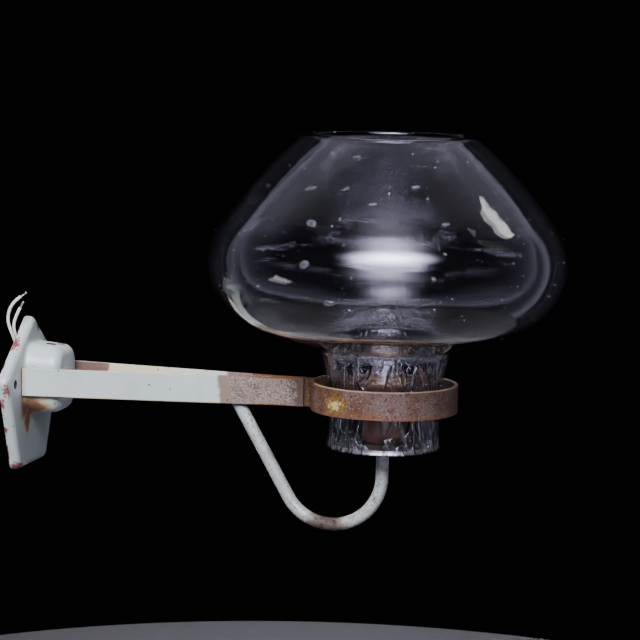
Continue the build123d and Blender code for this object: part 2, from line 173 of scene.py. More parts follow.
# Small bubbles: the seed of their random places, their count, lowest height above the lip, least length
# and what the longest have more, how rare long ones are, width as a share of length, and tilt in radians
RANDOM_SEED = 11
SEED_COUNT = 340
SEED_LOWEST = 0.03
SEED_LENGTH = 0.0008
SEED_GROWTH = 0.0024
SEED_RARITY = 4
SEED_WIDTH = (0.5, 0.9)
SEED_TILT = 0.6
# Bubbles longer than this get the finer mesh
FINE_BUBBLE = 0.003
BUBBLE_SIDES = 20
SEED_SIDES = 10

# Screw shell of the lamp holder: crest and valley of the inside of its thread, the sheet, the flange at
# its foot, and the stretches at foot and top where the thread runs out
THREAD_PITCH = 0.00362
THREAD_CREST_R = 0.0123
THREAD_VALLEY_R = 0.0133
THREAD_SHEET = 0.0005
FLANGE_R = 0.0112
FLANGE_SHEET = 0.0008
FOOT_RUNOUT = 0.0012
TOP_RUNOUT = 0.0015
SHELL_SEGMENTS = 72
SHELL_STEPS = 96


class Graph:
    """Helper that adds nodes to a node tree."""

    def __init__(self, tree, coordinates):
        self.tree = tree
        self.place = tree.nodes.new("ShaderNodeTexCoord").outputs[coordinates]

    def put(self, socket, value):
        """Sets a socket, or links it where the value is another socket."""
        if isinstance(value, bpy.types.NodeSocket):
            self.tree.links.new(value, socket)
        else:
            socket.default_value = value

    def math(self, operation, *values):
        made = self.tree.nodes.new("ShaderNodeMath")
        made.operation = operation
        for socket, value in zip(made.inputs, values):
            self.put(socket, value)
        return made.outputs[0]

    def vector(self, operation, first, second=(0.0, 0.0, 0.0), result="Vector"):
        made = self.tree.nodes.new("ShaderNodeVectorMath")
        made.operation = operation
        self.put(made.inputs[0], first)
        self.put(made.inputs[1], second)
        return made.outputs[result]

    def dot(self, first, second):
        return self.vector("DOT_PRODUCT", first, second, result="Value")

    def length(self, value):
        return self.vector("LENGTH", value, result="Value")

    def axis(self, letter):
        """One coordinate of the place."""
        made = self.tree.nodes.new("ShaderNodeSeparateXYZ")
        self.put(made.inputs[0], self.place)
        return made.outputs[letter]

    def step(self, value, between):
        """Smooth change from 0 at the first of two values to 1 at the second."""
        start, end = between
        made = self.tree.nodes.new("ShaderNodeMapRange")
        made.interpolation_type = "SMOOTHSTEP"
        self.put(made.inputs["Value"], value)
        made.inputs["From Min"].default_value = start
        made.inputs["From Max"].default_value = end
        return made.outputs["Result"]

    def both(self, first, second):
        return self.math("MULTIPLY", first, second)

    def more(self, base, mask, amount):
        """The base with an amount added where the mask is 1."""
        return self.math("MULTIPLY_ADD", mask, amount, base)


class Finish(Graph):
    """One procedural material: coats of colour over a base, with roughness and relief."""

    SPECK_EDGE = 0.03
    DOT_CORE = 0.6

    def __init__(self, name, colour, roughness, metallic=0.0):
        self.material = bpy.data.materials.new(name)
        self.material.use_nodes = True
        super().__init__(self.material.node_tree, "Object")
        self.shader = self.tree.nodes["Principled BSDF"]
        self.set("Metallic", metallic)
        self.colour = (*colour, 1.0)
        self.roughness = roughness
        self.relief = None

    def set(self, name, value):
        """Gives the shader one value for the whole surface."""
        self.shader.inputs[name].default_value = value

    def noise(self, size, detail=4.0, stretch=(1, 1, 1), seed=0.0, place=None):
        """Cloudy value from 0 to 1 with features of about this size in metres."""
        made = self.tree.nodes.new("ShaderNodeTexNoise")
        spot = self.place if place is None else place
        scaled = self.vector("MULTIPLY", spot, tuple(s / size for s in stretch))
        self.put(made.inputs["Vector"], self.vector("ADD", scaled, (seed, seed * 0.7, -seed)))
        made.inputs["Scale"].default_value = 1.0
        made.inputs["Detail"].default_value = detail
        made.inputs["Roughness"].default_value = 0.6
        return made.outputs["Fac"]

    def clouds(self, size, between, detail=4.0, stretch=(1, 1, 1), seed=0.0):
        """Soft patches: 0 where noise of this size is at the first of two values, 1 at the second."""
        return self.step(self.noise(size, detail, stretch, seed), between)

    def specks(self, size, level, seed=0.0):
        """Irregular specks of about this size; the higher the level, the fewer there are."""
        return self.clouds(size, (level, level + self.SPECK_EDGE), detail=2.0, seed=seed)

    def dots(self, size, spread, seed=0.0):
        """Small round dots of this size, one in each cell of this spread."""
        made = self.tree.nodes.new("ShaderNodeTexVoronoi")
        scaled = self.vector("MULTIPLY", self.place, (1 / spread,) * 3)
        self.put(made.inputs["Vector"], self.vector("ADD", scaled, (seed, seed, seed)))
        made.inputs["Scale"].default_value = 1.0
        return self.step(made.outputs["Distance"], (size / spread, self.DOT_CORE * size / spread))

    def near(self, centre, reach):
        """1 at a place, falling to 0 at a reach along each axis."""
        away = self.vector("SUBTRACT", self.place, centre)
        scaled = self.vector("MULTIPLY", away, tuple(1 / r for r in reach))
        return self.step(self.length(scaled), (1.0, 0.0))

    def beside(self, point, across):
        """Distance from a line through a point; across has 0 along the line and 1 across it."""
        return self.length(self.vector("MULTIPLY", self.vector("SUBTRACT", self.place, point), across))

    def normal(self):
        return self.tree.nodes.new("ShaderNodeTexCoord").outputs["Normal"]

    def ragged(self, mask, grain, between, wander, seed=0.0):
        """The mask with an edge broken up by noise of this grain that moves it by up to half the wander."""
        off_middle = self.math("SUBTRACT", self.noise(grain, detail=6.0, seed=seed), 0.5)
        wobble = self.math("MULTIPLY", off_middle, wander)
        return self.step(self.math("ADD", mask, wobble), between)

    def coat(self, mask, colour, roughness=None):
        """Lays a colour, and a roughness if there is one, over what is there."""
        mix = self.tree.nodes.new("ShaderNodeMix")
        mix.data_type = "RGBA"
        self.put(mix.inputs[0], mask)
        self.put(mix.inputs[6], self.colour)
        self.put(mix.inputs[7], (*colour, 1.0))
        self.colour = mix.outputs[2]
        if roughness is not None:
            blend = self.tree.nodes.new("ShaderNodeMix")
            self.put(blend.inputs[0], mask)
            self.put(blend.inputs[2], self.roughness)
            self.put(blend.inputs[3], roughness)
            self.roughness = blend.outputs[0]

    def raise_by(self, value, height):
        """Adds relief of this height in metres."""
        part = self.math("MULTIPLY", value, height)
        self.relief = part if self.relief is None else self.math("ADD", self.relief, part)

    def done(self):
        """Joins the coats to the shader and gives the material."""
        self.put(self.shader.inputs["Base Color"], self.colour)
        self.put(self.shader.inputs["Roughness"], self.roughness)
        if self.relief is not None:
            bump = self.tree.nodes.new("ShaderNodeBump")
            bump.inputs["Distance"].default_value = 1.0
            self.put(bump.inputs["Height"], self.relief)
            self.put(self.shader.inputs["Normal"], bump.outputs["Normal"])
        return self.material


# Colours of lacquer, of what lies under it and of rust, as linear values
LACQUER = (0.61, 0.69, 0.73)
LACQUER_SHADE = (0.53, 0.60, 0.64)
LACQUER_YELLOWED = (0.76, 0.68, 0.52)
CREAM = (0.66, 0.55, 0.37)
PRIMER = (0.24, 0.045, 0.05)
PRIMER_PALE = (0.42, 0.20, 0.22)
CHIP = (0.035, 0.02, 0.018)
INSIDE = (0.10, 0.075, 0.062)
RUST = (0.19, 0.075, 0.025)
RUST_PALE = (0.36, 0.20, 0.085)
RUST_DARK = (0.05, 0.018, 0.009)
# Colours of the worn ends of the arms
BEIGE = (0.24, 0.15, 0.12)
BEIGE_PALE = (0.27, 0.175, 0.14)
BEIGE_DEEP = (0.17, 0.095, 0.075)
MAUVE = (0.14, 0.092, 0.086)
WORN_SPECK = (0.36, 0.325, 0.32)
WORN_PIT = (0.09, 0.05, 0.04)
END_BROWN = (0.095, 0.055, 0.04)
# Colours of the ring
BAND_BROWN = (0.105, 0.047, 0.029)
BAND_RED = (0.20, 0.078, 0.042)
# Pale colour of the painted highlight along the ring's top edge
BAND_HIGHLIGHT = (0.34, 0.25, 0.17)
BAND_DARK = (0.10, 0.052, 0.024)
BAND_SPECK = (0.27, 0.21, 0.19)
OCHRE = (0.20, 0.105, 0.022)
OCHRE_PALE = (0.56, 0.46, 0.22)
# Colours of the tube
TUBE_GREY = (0.50, 0.52, 0.525)
TUBE_SHADE = (0.34, 0.335, 0.325)
TUBE_SPECK = (0.16, 0.135, 0.12)
# Colours of the lowest bend: brown wear, with painted shade darkening it
BEND_OUTER_WEAR_AND_SHADE = (0.22, 0.18, 0.15)
BEND_BROWN_AND_SHADE = (0.10, 0.072, 0.055)
# Colours of the other materials, each with its worn or shaded tone
STEEL = (0.52, 0.52, 0.51)
STEEL_DULL = (0.36, 0.35, 0.33)
STEEL_RUST = (0.22, 0.13, 0.08)
CLEAR = (0.965, 0.96, 0.975)
CLEAR_FILM = (0.94, 0.93, 0.95)
BUBBLE_CLEAR = (1.0, 1.0, 1.0)
BUBBLE_FILM = (0.96, 0.96, 0.98)
BAKELITE_BROWN = (0.092, 0.046, 0.030)
BAKELITE_DARK = (0.056, 0.026, 0.017)
BAKELITE_DUST = (0.10, 0.065, 0.05)
GLAZE = (0.72, 0.70, 0.65)
GLAZE_STAIN = (0.60, 0.56, 0.48)
BRASS_YELLOW = (0.62, 0.43, 0.16)
BRASS_TARNISH = (0.34, 0.22, 0.09)
PVC_WHITE = (0.96, 0.96, 0.95)
PVC_SHADE = (0.90, 0.90, 0.87)
TIN = (0.60, 0.58, 0.55)
TIN_WORN = (0.40, 0.30, 0.24)
FLOOR_PALE = (0.60, 0.60, 0.65)
FLOOR_SHADE = (0.56, 0.56, 0.61)

# How strongly the lacquer of arms and tube, the ring and the floor mirror, and how glass bends light
LACQUER_GLOSS = 0.25
BAND_GLOSS = 0.12
FLOOR_GLOSS = 0.1
GLASS_IOR = 1.5


def lacquer(name, colour):
    """Old sprayed lacquer: cloudy tone, a little orange peel and slow unevenness."""
    finish = Finish(name, colour, roughness=0.32)
    finish.coat(finish.clouds(0.035, (0.45, 0.75), detail=5.0), LACQUER_SHADE, roughness=0.42)
    finish.raise_by(finish.noise(0.0018, detail=2.0), height=0.00005)
    finish.raise_by(finish.noise(0.02, detail=2.0, seed=3.0), height=0.0003)
    return finish


# Wall plate: the yellowed middle as place and reach, and the rim as distances from the wall
PLATE_MIDDLE = ((0.010, 0.0, 0.0), (0.010, 0.050, 0.046))
PLATE_RIM = (0.0024, 0.0004)
# Places on it where the lacquer has come off, and how far each spot reaches
CHIPPED_PLACES = [
    ((0.002, -0.029, 0.029), (0.007, 0.014, 0.018)),
    ((0.007, 0.009, 0.041), (0.008, 0.009, 0.010)),
    ((0.005, -0.058, -0.002), (0.006, 0.009, 0.013)),
    ((0.001, -0.058, -0.015), (0.005, 0.007, 0.011)),
    ((0.001, -0.047, -0.036), (0.004, 0.005, 0.006)),
    ((0.005, -0.032, -0.067), (0.009, 0.012, 0.007)),
    ((0.029, 0.006, 0.028), (0.010, 0.010, 0.005)),
    ((0.004, 0.056, -0.010), (0.006, 0.011, 0.013)),
    ((0.003, 0.030, 0.028), (0.007, 0.010, 0.010)),
]
# Where rust has run under the near arm, and the stain below it
RUST_PLACES = [
    ((0.013, -0.023, -0.022), (0.024, 0.016, 0.018)),
    ((0.010, -0.016, -0.032), (0.010, 0.013, 0.019)),
]
# Its screw holes and the hole in the cup's top: places, radii where the painted shade on their walls begins
# and is full, and heights of the cup's top
SCREW_HOLE_Y = 0.0455
SCREW_HOLE_SHADE = (0.0039, 0.0035)
CUP_HOLE_X = 0.022
CUP_HOLE_SHADE = (0.0047, 0.0043)
CUP_TOP = (0.020, 0.024)
# How far its surface has to face the wall, or away from outward, to count as an inner side
TURNED_BACK = (0.3, 0.6)
TURNED_IN = (-0.3, -0.6)


def add_chips(finish):
    """Spots where the lacquer is worn down to pale primer, with bare primer in their middle."""
    for centre, reach in CHIPPED_PLACES:
        spot = finish.near(centre, reach)
        within = finish.step(spot, (0.02, 0.15))
        worn = finish.ragged(spot, 0.0030, (0.50, 0.62), wander=2.4, seed=9.0)
        finish.coat(finish.both(within, worn), PRIMER_PALE, roughness=0.5)
        bare = finish.ragged(spot, 0.0022, (0.66, 0.76), wander=2.8, seed=2.0)
        finish.coat(finish.both(within, bare), PRIMER, roughness=0.6)


def add_rust_run(finish):
    """Rust under the near arm, from a yellow stain at its border to dark scale in its middle."""
    rusty = finish.math("MAXIMUM", *(finish.near(centre, reach) for centre, reach in RUST_PLACES))
    finish.coat(finish.ragged(rusty, 0.009, (0.05, 0.45), wander=0.7, seed=4.0), CREAM, roughness=0.5)
    finish.coat(finish.ragged(rusty, 0.006, (0.30, 0.66), wander=0.8, seed=7.0), RUST_PALE, roughness=0.6)
    finish.coat(finish.ragged(rusty, 0.005, (0.46, 0.80), wander=0.8, seed=1.0), RUST, roughness=0.7)
    finish.coat(finish.ragged(rusty, 0.004, (0.80, 1.05), wander=0.9, seed=3.0), RUST_DARK, roughness=0.8)


def add_hole_shade(finish):
    """Painted shade: the walls of the plate's screw holes and of the hole in the cup's top, darkened as if
    in shadow.
    """
    # Painted shade in the holes, in the colour of dark rust
    for side in (-1, 1):
        away = finish.beside((0.0, side * SCREW_HOLE_Y, 0.0), (0.0, 1.0, 1.0))
        finish.coat(finish.step(away, SCREW_HOLE_SHADE), RUST_DARK, roughness=0.7)
    away = finish.beside((CUP_HOLE_X, 0.0, 0.0), (1.0, 1.0, 0.0))
    top = finish.step(finish.axis("Z"), CUP_TOP)
    finish.coat(finish.both(top, finish.step(away, CUP_HOLE_SHADE)), RUST_DARK, roughness=0.7)


def inner_sides(finish):
    """1 where the plate's surface faces the wall or the plate's middle."""
    normal = finish.normal()
    back = finish.step(finish.dot(normal, (-1.0, 0.0, 0.0)), TURNED_BACK)
    outward = finish.vector("NORMALIZE", finish.vector("MULTIPLY", finish.place, (0.0, 1.0, 1.0)))
    inner = finish.step(finish.dot(normal, outward), TURNED_IN)
    return finish.math("MAXIMUM", back, inner)


def plate_lacquer():
    """Wall plate: chipped lacquer over red primer, yellowed in the middle, bare inside, with painted shade
    in its holes.
    """
    finish = lacquer("plate_lacquer", LACQUER)
    yellowed = finish.both(finish.near(*PLATE_MIDDLE), finish.clouds(0.012, (0.36, 0.60)))
    finish.coat(yellowed, CREAM)
    rim = finish.step(finish.axis("X"), PLATE_RIM)
    finish.coat(finish.ragged(rim, 0.008, (0.98, 1.05), wander=1.3, seed=5.0), PRIMER, roughness=0.6)
    add_chips(finish)
    add_rust_run(finish)
    finish.coat(finish.dots(0.0008, spread=0.009), CHIP, roughness=0.6)
    add_hole_shade(finish)
    finish.coat(inner_sides(finish), INSIDE, roughness=0.7)
    return finish.done()


# Arms: heights where both edges begin and are full, and the same for the lower edge alone
ARM_EDGES = (0.0090, 0.0109)
ARM_LOW_EDGE = (-0.0102, -0.0109)
# Distances from the wall where each change along the arms begins and where it is full
ROOT_STAIN = (0.017, 0.008)
ROOT_CUT = (0.0092, 0.0082)
LOW_RUST = (0.075, 0.02)
YELLOWED = (0.17, 0.08)
STAINED = (0.082, 0.046)
WEAR_BORDER = (0.152, 0.174)
WORN = (0.160, 0.182)
WORN_EDGE = (0.165, 0.205)
DARK_END = (0.206, 0.234)
# How far the far arm's surface has to face the near side to count as its inner face
FACING_NEAR = (0.2, 0.5)


def add_inner_stain(finish, along):
    """Yellowed and stained inner face of the far arm, by the cup."""
    inner = finish.step(finish.dot(finish.normal(), (0.0, -1.0, 0.0)), FACING_NEAR)
    yellowed = finish.ragged(finish.step(along, YELLOWED), 0.02, (0.1, 0.9), wander=0.6, seed=6.0)
    finish.coat(finish.both(inner, yellowed), LACQUER_YELLOWED, roughness=0.5)
    stain = finish.step(along, STAINED)
    brown = finish.ragged(stain, 0.006, (0.35, 0.70), wander=1.4)
    finish.coat(finish.both(inner, brown), BEIGE, roughness=0.6)
    deep = finish.ragged(stain, 0.005, (0.55, 0.90), wander=1.4, seed=2.0)
    finish.coat(finish.both(inner, deep), BEIGE_DEEP, roughness=0.65)


def add_worn_end(finish, along, edge):
    """End of an arm by the ring, worn down to blotchy brown."""
    border = finish.ragged(finish.step(along, WEAR_BORDER), 0.008, (0.42, 0.60), wander=0.9, seed=1.0)
    finish.coat(border, BEIGE_PALE, roughness=0.55)
    worn = finish.ragged(finish.step(along, WORN), 0.006, (0.40, 0.60), wander=0.9, seed=6.0)
    finish.coat(worn, BEIGE, roughness=0.55)
    blotches = finish.clouds(0.007, (0.46, 0.62), detail=8.0, seed=2.0)
    finish.coat(finish.both(worn, blotches), MAUVE, roughness=0.6)
    finish.coat(finish.both(worn, finish.specks(0.0009, 0.53, seed=9.0)), WORN_SPECK, roughness=0.5)
    finish.coat(finish.both(worn, finish.specks(0.0014, 0.60, seed=4.0)), WORN_PIT, roughness=0.7)
    worn_edge = finish.both(edge, finish.step(along, WORN_EDGE))
    finish.coat(finish.ragged(worn_edge, 0.008, (0.45, 0.65), wander=0.9), RUST, roughness=0.7)
    dark_end = finish.step(along, DARK_END)
    finish.coat(finish.ragged(dark_end, 0.005, (0.45, 0.85), wander=1.6, seed=7.0), END_BROWN, roughness=0.7)


def arm_lacquer(side):
    """Arm: lacquer that is stained at the root, yellow at the edges and worn off at the ring's end."""
    finish = lacquer("arm_lacquer_" + ("near" if side < 0 else "far"), LACQUER)
    finish.set("Specular IOR Level", LACQUER_GLOSS)
    along = finish.axis("X")
    edge = finish.step(finish.math("ABSOLUTE", finish.axis("Z")), ARM_EDGES)
    finish.coat(finish.both(edge, finish.clouds(0.016, (0.35, 0.62))), CREAM, roughness=0.5)
    root = finish.step(along, ROOT_STAIN)
    finish.coat(finish.ragged(root, 0.012, (0.50, 1.2), wander=0.6), CREAM, roughness=0.5)
    cut = finish.step(along, ROOT_CUT)
    low = finish.both(finish.step(along, LOW_RUST), finish.step(finish.axis("Z"), ARM_LOW_EDGE))
    for brown in (cut, low):
        rusty = finish.ragged(brown, 0.006, (0.35, 0.60), wander=0.8, seed=3.0)
        finish.coat(rusty, RUST_DARK, roughness=0.7)
    if side > 0:
        add_inner_stain(finish, along)
    add_worn_end(finish, along, edge)
    finish.coat(finish.dots(0.0009, spread=0.010, seed=8.0), CHIP, roughness=0.6)
    return finish.done()


# Ring: distances from the wall between which it turns grey and its start turns dark, heights of its low edge
# and of the painted highlight on its top edge, and the ochre patch as place and reach
BAND_GREYER = (0.250, 0.335)
BAND_START = (0.256, 0.232)
BAND_LOW_EDGE = (0.002, -0.0105)
BAND_TOP_HIGHLIGHT = (0.0098, 0.0108)
BAND_PATCH = ((0.2635, -0.050, -0.002), (0.024, 0.018, 0.013))


def worn_band():
    """Ring: brown rusty bar with grey clouds, a pale top edge that is a painted highlight, and one ochre
    patch.
    """
    finish = Finish("worn_band", BAND_BROWN, roughness=0.62)
    finish.set("Specular IOR Level", BAND_GLOSS)
    greyer = finish.more(finish.noise(0.014, detail=8.0), finish.step(finish.axis("X"), BAND_GREYER), 0.16)
    finish.coat(finish.step(greyer, (0.48, 0.68)), MAUVE, roughness=0.6)
    finish.coat(finish.clouds(0.018, (0.54, 0.70), detail=6.0, seed=6.0), RUST, roughness=0.75)
    low_edge = finish.step(finish.axis("Z"), BAND_LOW_EDGE)
    finish.coat(finish.ragged(low_edge, 0.010, (0.70, 1.15), wander=0.9, seed=3.0), BAND_RED, roughness=0.7)
    # Painted highlight: the top edge lightened where light catches it
    top_highlight = finish.step(finish.axis("Z"), BAND_TOP_HIGHLIGHT)
    finish.coat(finish.ragged(top_highlight, 0.008, (0.4, 0.6), wander=0.8, seed=1.0), BAND_HIGHLIGHT, roughness=0.55)
    start = finish.step(finish.axis("X"), BAND_START)
    finish.coat(finish.ragged(start, 0.010, (0.40, 0.65), wander=0.8, seed=8.0), BAND_DARK, roughness=0.7)
    patch = finish.near(*BAND_PATCH)
    finish.coat(finish.ragged(patch, 0.006, (0.30, 0.55), wander=1.2, seed=2.0), OCHRE, roughness=0.7)
    finish.coat(finish.ragged(patch, 0.0035, (0.74, 0.92), wander=1.8, seed=5.0), OCHRE_PALE, roughness=0.6)
    finish.coat(finish.specks(0.0018, 0.60, seed=2.0), RUST_DARK, roughness=0.8)
    finish.coat(finish.specks(0.0012, 0.61, seed=5.0), BAND_SPECK, roughness=0.6)
    finish.raise_by(finish.noise(0.0016, detail=6.0), height=0.00025)
    finish.raise_by(finish.noise(0.009, seed=2.0), height=0.0004)
    return finish.done()


# The lowest bend of the tube, worn brown and darkened with painted shade, as place and reach
TUBE_BEND_WEAR_AND_SHADE = ((0.250, 0.0, TUBE_LOW.z + 0.004), (0.034, 0.02, 0.024))


def tube_lacquer():
    """Tube: dull grey lacquer with specks; its lowest bend is worn brown and darkened with painted shade."""
    finish = lacquer("tube_lacquer", TUBE_GREY)
    finish.set("Specular IOR Level", LACQUER_GLOSS)
    finish.coat(finish.clouds(0.010, (0.50, 0.68), detail=7.0, seed=4.0), TUBE_SHADE, roughness=0.5)
    finish.coat(finish.specks(0.0016, 0.61, seed=2.0), TUBE_SPECK, roughness=0.6)
    # Lowest bend: brown wear, partly painted shade, darkest at its middle
    bend_wear_and_shade = finish.near(*TUBE_BEND_WEAR_AND_SHADE)
    finish.coat(finish.ragged(bend_wear_and_shade, 0.010, (0.25, 0.60), wander=0.7), BEND_OUTER_WEAR_AND_SHADE, roughness=0.6)
    finish.coat(finish.ragged(bend_wear_and_shade, 0.008, (0.48, 0.70), wander=1.0, seed=3.0), BEND_BROWN_AND_SHADE, roughness=0.7)
    finish.coat(finish.ragged(bend_wear_and_shade, 0.005, (0.75, 0.95), wander=1.3, seed=6.0), CHIP, roughness=0.7)
    return finish.done()


def plated_steel():
    """Nuts, washer and plate: dull plating with a little rust."""
    finish = Finish("plated_steel", STEEL, roughness=0.34, metallic=1.0)
    finish.coat(finish.clouds(0.006, (0.45, 0.7), detail=6.0), STEEL_DULL, roughness=0.5)
    finish.coat(finish.clouds(0.004, (0.66, 0.74), detail=6.0, seed=7.0), STEEL_RUST, roughness=0.7)
    finish.raise_by(finish.noise(0.0012, detail=3.0), height=0.00005)
    return finish.done()


# Two sets of upright streaks in the neck of the glass: sideways shift and seed of their noise
NECK_STREAKS = ((0.5, 2.0), (-0.8, 4.0))
# How near a streak's noise is to its middle value where a crease begins and where it is sharpest
CREASE_RANGE = (0.035, 0.0)


def bubble_glass():
    """Clear glass with a thin film, upright streaks and creases in the neck and slow waves all over."""
    finish = Finish("bubble_glass", CLEAR, roughness=0.0)
    finish.set("Transmission Weight", 1.0)
    finish.set("IOR", GLASS_IOR)
    finish.coat(finish.clouds(0.05, (0.5, 0.8), detail=5.0, seed=1.0), CLEAR_FILM, roughness=0.012)
    neck = finish.step(finish.axis("Z"), (GLASS_LOW.z + NECK_TOP, GLASS_LOW.z + CREASES_FULL))
    for shift, seed in NECK_STREAKS:
        shifted = finish.vector("ADD", finish.place, (shift, shift, 0.0))
        streak = finish.noise(0.016, detail=1.5, stretch=(1, 1, 0.25), seed=seed, place=shifted)
        off_middle = finish.math("ABSOLUTE", finish.math("SUBTRACT", streak, 0.5))
        finish.raise_by(finish.both(neck, streak), height=0.0003)
        finish.raise_by(finish.both(neck, finish.step(off_middle, CREASE_RANGE)), height=0.0005)
    finish.raise_by(finish.noise(0.03, detail=2.0, stretch=(1, 1, 2.0)), height=0.00008)
    return finish.done()


def bubble_skin():
    """Inside of the bubbles, a little dull so that their outlines catch the light."""
    finish = Finish("bubble_skin", BUBBLE_CLEAR, roughness=0.25)
    finish.set("Transmission Weight", 1.0)
    finish.set("IOR", GLASS_IOR)
    finish.coat(finish.clouds(0.004, (0.4, 0.7), detail=3.0), BUBBLE_FILM, roughness=0.4)
    return finish.done()


def bakelite():
    """Lamp holder: brown mottled moulding with dull dust."""
    finish = Finish("bakelite", BAKELITE_BROWN, roughness=0.28)
    mottled = finish.clouds(0.008, (0.45, 0.75), detail=6.0, stretch=(1, 1, 0.4))
    finish.coat(mottled, BAKELITE_DARK, roughness=0.35)
    finish.coat(finish.clouds(0.015, (0.55, 0.8), detail=5.0, seed=4.0), BAKELITE_DUST, roughness=0.55)
    finish.raise_by(finish.noise(0.002, detail=3.0), height=0.00005)
    return finish.done()


def porcelain():
    """Insert of the lamp holder: off-white glaze with stains."""
    finish = Finish("porcelain", GLAZE, roughness=0.16)
    finish.coat(finish.clouds(0.006, (0.5, 0.75), detail=5.0), GLAZE_STAIN, roughness=0.3)
    finish.raise_by(finish.noise(0.003, detail=3.0), height=0.00006)
    return finish.done()


def brass():
    """Contacts and screw shell: brass with tarnish."""
    finish = Finish("brass", BRASS_YELLOW, roughness=0.26, metallic=1.0)
    finish.coat(finish.clouds(0.005, (0.45, 0.7), detail=6.0), BRASS_TARNISH, roughness=0.42)
    finish.raise_by(finish.noise(0.0015, detail=3.0), height=0.00004)
    return finish.done()


def white_pvc():
    """Insulation of the leads and the bush."""
    finish = Finish("white_pvc", PVC_WHITE, roughness=0.42)
    finish.coat(finish.clouds(0.008, (0.5, 0.75), detail=5.0), PVC_SHADE, roughness=0.5)
    finish.raise_by(finish.noise(0.0015, detail=3.0), height=0.00004)
    return finish.done()


def tinned_copper():
    """Strands of the stripped leads: tin with copper showing through."""
    finish = Finish("tinned_copper", TIN, roughness=0.32, metallic=1.0)
    finish.coat(finish.clouds(0.002, (0.5, 0.7), detail=5.0), TIN_WORN, roughness=0.45)
    return finish.done()


def floor_paint():
    """Plain pale floor."""
    finish = Finish("floor_paint", FLOOR_PALE, roughness=0.9)
    finish.set("Specular IOR Level", FLOOR_GLOSS)
    finish.coat(finish.clouds(0.3, (0.4, 0.7)), FLOOR_SHADE, roughness=0.95)
    return finish.done()


def give(node, material):
    """Puts a material on a node of the frame, in place of what it has."""
    data = NODES[node].data
    data.materials.clear()
    data.materials.append(material)


def new_piece(name, mesh, material, smooth=True):
    """Object made from a bmesh."""
    data = bpy.data.meshes.new(name)
    mesh.to_mesh(data)
    mesh.free()
    for polygon in data.polygons:
        polygon.use_smooth = smooth
    data.materials.append(material)
    piece = bpy.data.objects.new(name, data)
    bpy.context.scene.collection.objects.link(piece)
    return piece


def angles(count):
    """Even angles round a full turn."""
    return [2 * math.pi * k / count for k in range(count)]


def bridge(mesh, low, high):
    """Faces between two rings with the same number of vertices."""
    count = len(low)
    faces = []
    for k in range(count):
        n = (k + 1) % count
        faces.append(mesh.faces.new((low[k], low[n], high[n], high[k])))
    return faces


def add_tube(mesh, points, radius, sides):
    """Closed round tube along a list of points."""
    rings = []
    for i, point in enumerate(points):
        ahead = points[min(i + 1, len(points) - 1)] - points[max(i - 1, 0)]
        turn = ahead.to_track_quat("Z", "Y")
        ring = []
        for angle in angles(sides):
            offset = Vector((radius * math.cos(angle), radius * math.sin(angle), 0))
            ring.append(mesh.verts.new(point + turn @ offset))
        rings.append(ring)
    for low, high in zip(rings, rings[1:]):
        bridge(mesh, low, high)
    mesh.faces.new(list(reversed(rings[0])))
    mesh.faces.new(rings[-1])


def make_strands(name, route, node, material):
    """Strands at a lead's stripped end: one straight, the others twisted round it."""
    end = Vector(route[-1])
    direction = (end - Vector(route[-2])).normalized()
    turn = direction.to_track_quat("Z", "Y")
    mesh = bmesh.new()
    for strand in range(STRAND_COUNT):
        reach = 0.0 if strand == 0 else 2.0 * STRAND_R
        length = CORE_LENGTH * STRAND_SHARES[strand % len(STRAND_SHARES)]
        points = []
        for i in range(STRAND_STEPS + 1):
            share = i / STRAND_STEPS
            angle = 2 * math.pi * strand / (STRAND_COUNT - 1) + STRAND_TWIST * share
            splay = reach * (1.0 + STRAND_SPLAY * share**3)
            local = Vector((splay * math.cos(angle), splay * math.sin(angle), length * share))
            points.append(end + turn @ local)
        add_tube(mesh, points, STRAND_R, STRAND_SIDES)
    piece = new_piece(name, mesh, material)
    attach(piece, "bracket")
    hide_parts(node)
    return piece


def make_lead(name, route, node, material):
    """Insulated free end of a lead, as one smooth line."""
    curve = bpy.data.curves.new(name, "CURVE")
    curve.dimensions = "3D"
    curve.bevel_depth = LEAD_D / 2
    curve.bevel_resolution = 5
    curve.use_fill_caps = True
    spline = curve.splines.new("NURBS")
    spline.points.add(len(route) - 1)
    for point, place in zip(spline.points, route):
        point.co = (*place, 1.0)
    spline.order_u = 3
    spline.use_endpoint_u = True
    spline.resolution_u = 16
    curve.materials.append(material)
    lead = bpy.data.objects.new(name, curve)
    bpy.context.scene.collection.objects.link(lead)
    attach(lead, "bracket")
    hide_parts(node)


def section_of(node):
    """Closed outline of a turned node on the side of greater X, as (radius, height) in order."""
    mesh = bmesh.new()
    mesh.from_mesh(NODES[node].data)
    bmesh.ops.remove_doubles(mesh, verts=mesh.verts, dist=MERGE_DISTANCE)
    everything = mesh.verts[:] + mesh.edges[:] + mesh.faces[:]
    cut = bmesh.ops.bisect_plane(mesh, geom=everything, plane_co=(0, 0, 0), plane_no=(0, 1, 0))
    edges = [part for part in cut["geom_cut"] if isinstance(part, bmesh.types.BMEdge)]
    linked = {}
    for edge in edges:
        if edge.verts[0].co.x > AXIS_X:
            for vert in edge.verts:
                linked.setdefault(vert, []).append(edge.other_vert(vert))
    start = min(linked, key=lambda v: v.co.z)
    loop = [start]
    before, here = None, start
    while True:
        onward = [v for v in linked[here] if v is not before]
        before, here = here, onward[0]
        if here is start:
            break
        loop.append(here)
    outline = [Vector((v.co.x - AXIS_X, v.co.z)) for v in loop]
    mesh.free()
    return outline


def curve_point(start, end, leave, arrive, t):
    """Point at a share t of the curve between two points that has these directions at its ends."""
    return (
        start * (1 + 2 * t) * (1 - t) ** 2
        + leave * t * (1 - t) ** 2
        + end * t * t * (3 - 2 * t)
        + arrive * t * t * (t - 1)
    )


